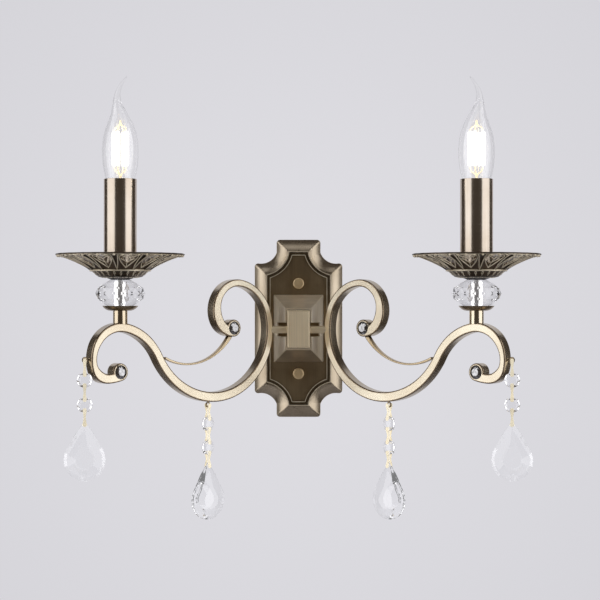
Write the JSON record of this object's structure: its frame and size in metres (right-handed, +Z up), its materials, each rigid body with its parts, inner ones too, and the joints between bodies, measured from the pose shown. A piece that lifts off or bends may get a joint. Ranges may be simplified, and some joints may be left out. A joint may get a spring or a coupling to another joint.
{
  "type": "double arm wall sconce",
  "caption": "Wall light with splayed scroll arms from a scalloped plate, openwork drip pans, candle sleeves, flame bulbs, faceted crystals and swinging crystal strings.",
  "frame": {"origin": "on the wall at the centre of the plate, midway between the two screw slots of the bracket", "axes": "+Z up, +Y into the wall, +X to the right of someone who faces the light"},
  "size_m": [0.457, 0.2194, 0.4262],
  "materials": {
    "antique_brass": "antique, brushed",
    "steel": "plated",
    "terminal_plastic": "moulded",
    "crystal": "cut and polished",
    "bulb_glass": "clear",
    "filament_glow": "glowing strips",
    "holder_plastic": "moulded",
    "lead_insulation": "smooth",
    "gold_wire": "bright gold plate"
  },
  "bodies": {
    "sconce": {"backplate": "antique_brass", "pyramid_boss": "antique_brass", "centre_block": "antique_brass", "arm_rods": "antique_brass", "left_arm": "antique_brass", "right_arm": "antique_brass", "left_brace": "antique_brass", "right_brace": "antique_brass", "stem_tubes": "antique_brass", "dish_cups": "antique_brass", "left_drip_pan": "antique_brass", "right_drip_pan": "antique_brass", "left_sleeve": "antique_brass", "right_sleeve": "antique_brass", "string_eyes": "antique_brass", "wall_bracket": "steel", "bracket_studs": "steel", "stud_nuts": "steel", "earth_screw": "steel", "block_bolts": "steel", "threaded_nipples": "steel", "terminal_block": "terminal_plastic", "left_crystal": "crystal", "right_crystal": "crystal", "scroll_stones": "crystal", "left_lampholder": "holder_plastic", "right_lampholder": "holder_plastic", "lead_wires": "lead_insulation"},
    "left_bulb": {"left_bulb_glass": "bulb_glass", "left_bulb_cap": "steel", "left_filaments": "filament_glow"},
    "right_bulb": {"right_bulb_glass": "bulb_glass", "right_bulb_cap": "steel", "right_filaments": "filament_glow"},
    "cap_nut_upper_body": {"cap_nut_upper": "antique_brass"},
    "cap_nut_lower_body": {"cap_nut_lower": "antique_brass"},
    "right_inner_clip_1_link": {"right_inner_clip_1": "gold_wire"},
    "right_inner_bead_1_link": {"right_inner_bead_1": "crystal"},
    "right_inner_clip_2_link": {"right_inner_clip_2": "gold_wire"},
    "right_inner_bead_2_link": {"right_inner_bead_2": "crystal"},
    "right_inner_clip_3_link": {"right_inner_clip_3": "gold_wire"},
    "right_inner_drop_link": {"right_inner_drop": "crystal"},
    "left_inner_clip_1_link": {"left_inner_clip_1": "gold_wire"},
    "left_inner_bead_1_link": {"left_inner_bead_1": "crystal"},
    "left_inner_clip_2_link": {"left_inner_clip_2": "gold_wire"},
    "left_inner_bead_2_link": {"left_inner_bead_2": "crystal"},
    "left_inner_clip_3_link": {"left_inner_clip_3": "gold_wire"},
    "left_inner_drop_link": {"left_inner_drop": "crystal"},
    "right_outer_clip_1_link": {"right_outer_clip_1": "gold_wire"},
    "right_outer_bead_1_link": {"right_outer_bead_1": "crystal"},
    "right_outer_clip_2_link": {"right_outer_clip_2": "gold_wire"},
    "right_outer_bead_2_link": {"right_outer_bead_2": "crystal"},
    "right_outer_clip_3_link": {"right_outer_clip_3": "gold_wire"},
    "right_outer_drop_link": {"right_outer_drop": "crystal"},
    "left_outer_clip_1_link": {"left_outer_clip_1": "gold_wire"},
    "left_outer_bead_1_link": {"left_outer_bead_1": "crystal"},
    "left_outer_clip_2_link": {"left_outer_clip_2": "gold_wire"},
    "left_outer_bead_2_link": {"left_outer_bead_2": "crystal"},
    "left_outer_clip_3_link": {"left_outer_clip_3": "gold_wire"},
    "left_outer_drop_link": {"left_outer_drop": "crystal"}
  },
  "joints": [
    {"name": "left_bulb_out", "type": "slide", "parent": "sconce", "child": "left_bulb", "axis": [0, 0, 1], "range_m": [0, 0.05]},
    {"name": "right_bulb_out", "type": "slide", "parent": "sconce", "child": "right_bulb", "axis": [0, 0, 1], "range_m": [0, 0.05]},
    {"name": "cap_nut_upper_off", "type": "slide", "parent": "sconce", "child": "cap_nut_upper_body", "axis": [0, -1, 0], "range_m": [0, 0.012]},
    {"name": "cap_nut_lower_off", "type": "slide", "parent": "sconce", "child": "cap_nut_lower_body", "axis": [0, -1, 0], "range_m": [0, 0.012]},
    {"name": "right_inner_clip_1_swing", "type": "hinge", "parent": "sconce", "child": "right_inner_clip_1_link", "pos_m": [0.08885, -0.09249, -0.07436], "axis": [-0.6428, -0.766, 0], "range_deg": [-15, 15]},
    {"name": "right_inner_bead_1_swing", "type": "hinge", "parent": "right_inner_clip_1_link", "child": "right_inner_bead_1_link", "pos_m": [0.08885, -0.09249, -0.08696], "axis": [0.6428, 0.766, 0], "range_deg": [-20, 20]},
    {"name": "right_inner_clip_2_swing", "type": "hinge", "parent": "right_inner_bead_1_link", "child": "right_inner_clip_2_link", "pos_m": [0.08885, -0.09249, -0.09756], "axis": [-0.6428, -0.766, 0], "range_deg": [-20, 20]},
    {"name": "right_inner_bead_2_swing", "type": "hinge", "parent": "right_inner_clip_2_link", "child": "right_inner_bead_2_link", "pos_m": [0.08885, -0.09249, -0.11016], "axis": [0.6428, 0.766, 0], "range_deg": [-20, 20]},
    {"name": "right_inner_clip_3_swing", "type": "hinge", "parent": "right_inner_bead_2_link", "child": "right_inner_clip_3_link", "pos_m": [0.08885, -0.09249, -0.12076], "axis": [-0.6428, -0.766, 0], "range_deg": [-20, 20]},
    {"name": "right_inner_drop_swing", "type": "hinge", "parent": "right_inner_clip_3_link", "child": "right_inner_drop_link", "pos_m": [0.08885, -0.09249, -0.13336], "axis": [0.6428, 0.766, 0], "range_deg": [-20, 20]},
    {"name": "left_inner_clip_1_swing", "type": "hinge", "parent": "sconce", "child": "left_inner_clip_1_link", "pos_m": [-0.08885, -0.09249, -0.07436], "axis": [-0.6428, 0.766, 0], "range_deg": [-15, 15]},
    {"name": "left_inner_bead_1_swing", "type": "hinge", "parent": "left_inner_clip_1_link", "child": "left_inner_bead_1_link", "pos_m": [-0.08885, -0.09249, -0.08696], "axis": [0.6428, -0.766, 0], "range_deg": [-20, 20]},
    {"name": "left_inner_clip_2_swing", "type": "hinge", "parent": "left_inner_bead_1_link", "child": "left_inner_clip_2_link", "pos_m": [-0.08885, -0.09249, -0.09756], "axis": [-0.6428, 0.766, 0], "range_deg": [-20, 20]},
    {"name": "left_inner_bead_2_swing", "type": "hinge", "parent": "left_inner_clip_2_link", "child": "left_inner_bead_2_link", "pos_m": [-0.08885, -0.09249, -0.11016], "axis": [0.6428, -0.766, 0], "range_deg": [-20, 20]},
    {"name": "left_inner_clip_3_swing", "type": "hinge", "parent": "left_inner_bead_2_link", "child": "left_inner_clip_3_link", "pos_m": [-0.08885, -0.09249, -0.12076], "axis": [-0.6428, 0.766, 0], "range_deg": [-20, 20]},
    {"name": "left_inner_drop_swing", "type": "hinge", "parent": "left_inner_clip_3_link", "child": "left_inner_drop_link", "pos_m": [-0.08885, -0.09249, -0.13336], "axis": [0.6428, -0.766, 0], "range_deg": [-20, 20]},
    {"name": "right_outer_clip_1_swing", "type": "hinge", "parent": "sconce", "child": "right_outer_clip_1_link", "pos_m": [0.19866, -0.18463, -0.02746], "axis": [-0.1392, -0.9903, 0], "range_deg": [-4, 25]},
    {"name": "right_outer_bead_1_swing", "type": "hinge", "parent": "right_outer_clip_1_link", "child": "right_outer_bead_1_link", "pos_m": [0.19866, -0.18463, -0.04006], "axis": [0.1392, 0.9903, 0], "range_deg": [-20, 20]},
    {"name": "right_outer_clip_2_swing", "type": "hinge", "parent": "right_outer_bead_1_link", "child": "right_outer_clip_2_link", "pos_m": [0.19866, -0.18463, -0.05066], "axis": [-0.1392, -0.9903, 0], "range_deg": [-20, 20]},
    {"name": "right_outer_bead_2_swing", "type": "hinge", "parent": "right_outer_clip_2_link", "child": "right_outer_bead_2_link", "pos_m": [0.19866, -0.18463, -0.06326], "axis": [0.1392, 0.9903, 0], "range_deg": [-20, 20]},
    {"name": "right_outer_clip_3_swing", "type": "hinge", "parent": "right_outer_bead_2_link", "child": "right_outer_clip_3_link", "pos_m": [0.19866, -0.18463, -0.07386], "axis": [-0.1392, -0.9903, 0], "range_deg": [-20, 20]},
    {"name": "right_outer_drop_swing", "type": "hinge", "parent": "right_outer_clip_3_link", "child": "right_outer_drop_link", "pos_m": [0.19866, -0.18463, -0.08646], "axis": [0.1392, 0.9903, 0], "range_deg": [-20, 20]},
    {"name": "left_outer_clip_1_swing", "type": "hinge", "parent": "sconce", "child": "left_outer_clip_1_link", "pos_m": [-0.19866, -0.18463, -0.02746], "axis": [-0.1392, 0.9903, 0], "range_deg": [-4, 25]},
    {"name": "left_outer_bead_1_swing", "type": "hinge", "parent": "left_outer_clip_1_link", "child": "left_outer_bead_1_link", "pos_m": [-0.19866, -0.18463, -0.04006], "axis": [0.1392, -0.9903, 0], "range_deg": [-20, 20]},
    {"name": "left_outer_clip_2_swing", "type": "hinge", "parent": "left_outer_bead_1_link", "child": "left_outer_clip_2_link", "pos_m": [-0.19866, -0.18463, -0.05066], "axis": [-0.1392, 0.9903, 0], "range_deg": [-20, 20]},
    {"name": "left_outer_bead_2_swing", "type": "hinge", "parent": "left_outer_clip_2_link", "child": "left_outer_bead_2_link", "pos_m": [-0.19866, -0.18463, -0.06326], "axis": [0.1392, -0.9903, 0], "range_deg": [-20, 20]},
    {"name": "left_outer_clip_3_swing", "type": "hinge", "parent": "left_outer_bead_2_link", "child": "left_outer_clip_3_link", "pos_m": [-0.19866, -0.18463, -0.07386], "axis": [-0.1392, 0.9903, 0], "range_deg": [-20, 20]},
    {"name": "left_outer_drop_swing", "type": "hinge", "parent": "left_outer_clip_3_link", "child": "left_outer_drop_link", "pos_m": [-0.19866, -0.18463, -0.08646], "axis": [0.1392, -0.9903, 0], "range_deg": [-20, 20]}
  ]
}
